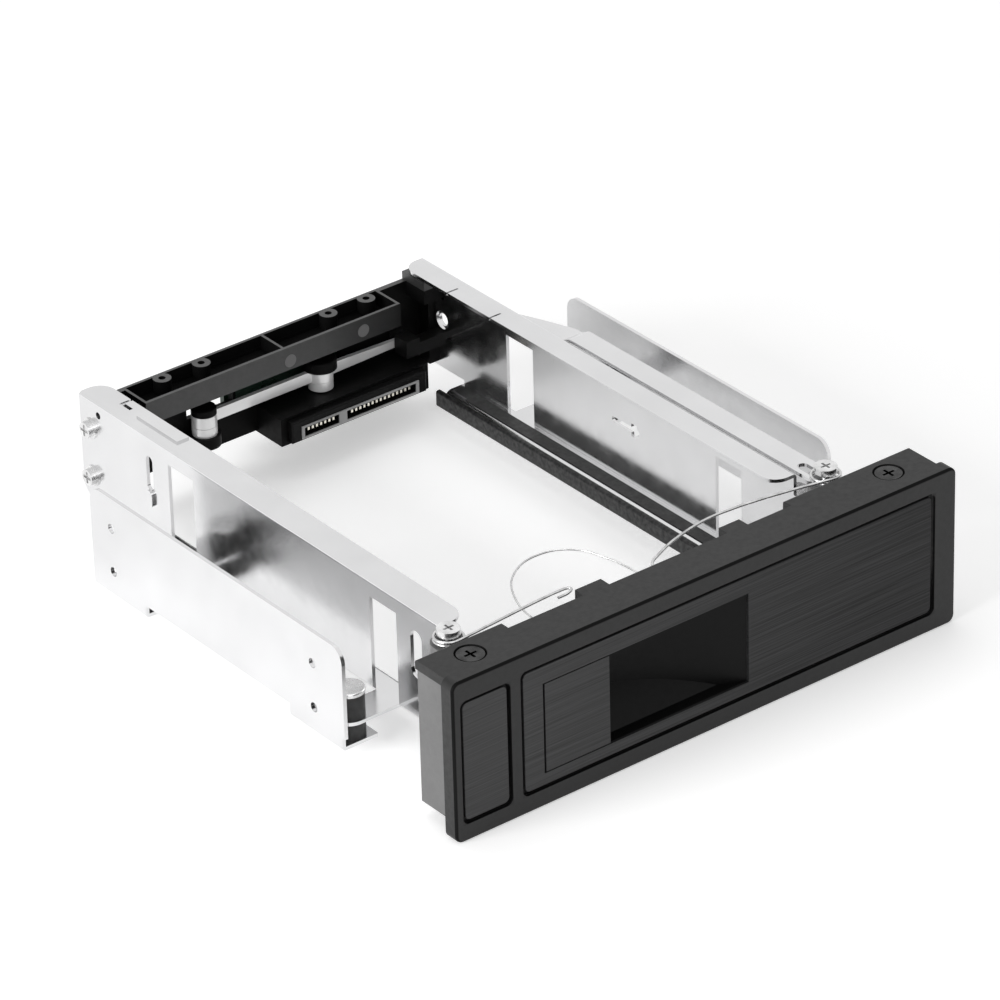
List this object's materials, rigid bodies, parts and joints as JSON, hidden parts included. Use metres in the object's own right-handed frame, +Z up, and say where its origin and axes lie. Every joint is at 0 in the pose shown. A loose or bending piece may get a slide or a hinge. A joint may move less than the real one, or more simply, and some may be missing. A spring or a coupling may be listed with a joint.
{
  "type": "hot swap drive cage",
  "caption": "Drive cage for a half-height bay: sheet walls on rubber mounts, hinged front door with a latch paddle, eject lever and a rear receptacle for one drive.",
  "frame": {"origin": "centre of the bounding box, at its bottom: below the middle of the bezel's lower edge plane and half the depth behind it", "axes": "+X to the right of the face, +Y to the rear where the sockets are, +Z up"},
  "size_m": [0.1486, 0.1774, 0.042],
  "materials": {
    "zinc_steel": "bright zinc plated sheet",
    "lever_steel": "plain stamped steel",
    "black_plastic": "black, finely grained",
    "black_aluminium": "black anodised, brushed lengthways",
    "connector_plastic": "black",
    "rubber": "black",
    "black_screws": "blackened steel",
    "plain_screws": "plated",
    "spring_wire": "bright spring wire",
    "pin_steel": "ground",
    "contacts": "gilded",
    "board": "green solder mask"
  },
  "bodies": {
    "cage": {"left_side_wall": "zinc_steel", "right_side_wall": "zinc_steel", "left_mount_bracket": "zinc_steel", "right_mount_bracket": "zinc_steel", "pivot_spacer": "lever_steel", "strike_plate": "lever_steel", "bezel_cover": "black_plastic", "bezel_body": "black_plastic", "rear_housing": "black_plastic", "lever_pivot_pin": "black_plastic", "side_panel": "black_aluminium", "drive_receptacle": "connector_plastic", "data_socket": "connector_plastic", "power_socket": "connector_plastic", "grommets": "rubber", "bezel_screws": "black_screws", "grommet_screws": "black_screws", "spring_screws": "black_screws", "housing_screws": "plain_screws", "board_screws": "plain_screws", "left_top_spring": "spring_wire", "right_top_spring": "spring_wire", "hold_down_wire": "spring_wire", "hinge_spring": "spring_wire", "hinge_pin": "pin_steel", "receptacle_contacts": "contacts", "backplane_board": "board"},
    "door": {"door_panel": "black_plastic", "door_face": "black_aluminium", "crank_pin": "pin_steel", "latch_pin": "pin_steel", "latch_spring": "spring_wire"},
    "latch": {"latch_paddle": "black_plastic", "latch_face": "black_aluminium"},
    "eject_bar": {"eject_bar": "lever_steel", "eject_slider": "black_plastic"},
    "eject_lever": {"lever_arm": "lever_steel", "lever_bumper": "black_plastic", "bumper_ring": "lever_steel"}
  },
  "joints": [
    {"name": "door_hinge", "type": "hinge", "parent": "cage", "child": "door", "pos_m": [0.0656, -0.0866, 0.021], "axis": [0, 0, 1], "range_deg": [0, 90]},
    {"name": "latch_pivot", "type": "hinge", "parent": "door", "child": "latch", "pos_m": [-0.04505, -0.08665, 0.0203], "axis": [0, 0, -1], "range_deg": [0, 18], "stiffness_Nm_per_rad": 0.01, "springref_deg": -5.73},
    {"name": "eject_slide", "type": "slide", "parent": "cage", "child": "eject_bar", "axis": [0, -1, 0], "range_m": [0, 0.008]},
    {"name": "lever_pivot", "type": "hinge", "parent": "cage", "child": "eject_lever", "pos_m": [-0.024, 0.07515, 0.0208], "axis": [0, 0, -1], "range_deg": [0, 7.6]}
  ],
  "couplings": [
    {"joint": "eject_slide", "follows": "door_hinge", "m_per_rad": 0.00509},
    {"joint": "lever_pivot", "follows": "door_hinge", "ratio": 0.084}
  ]
}
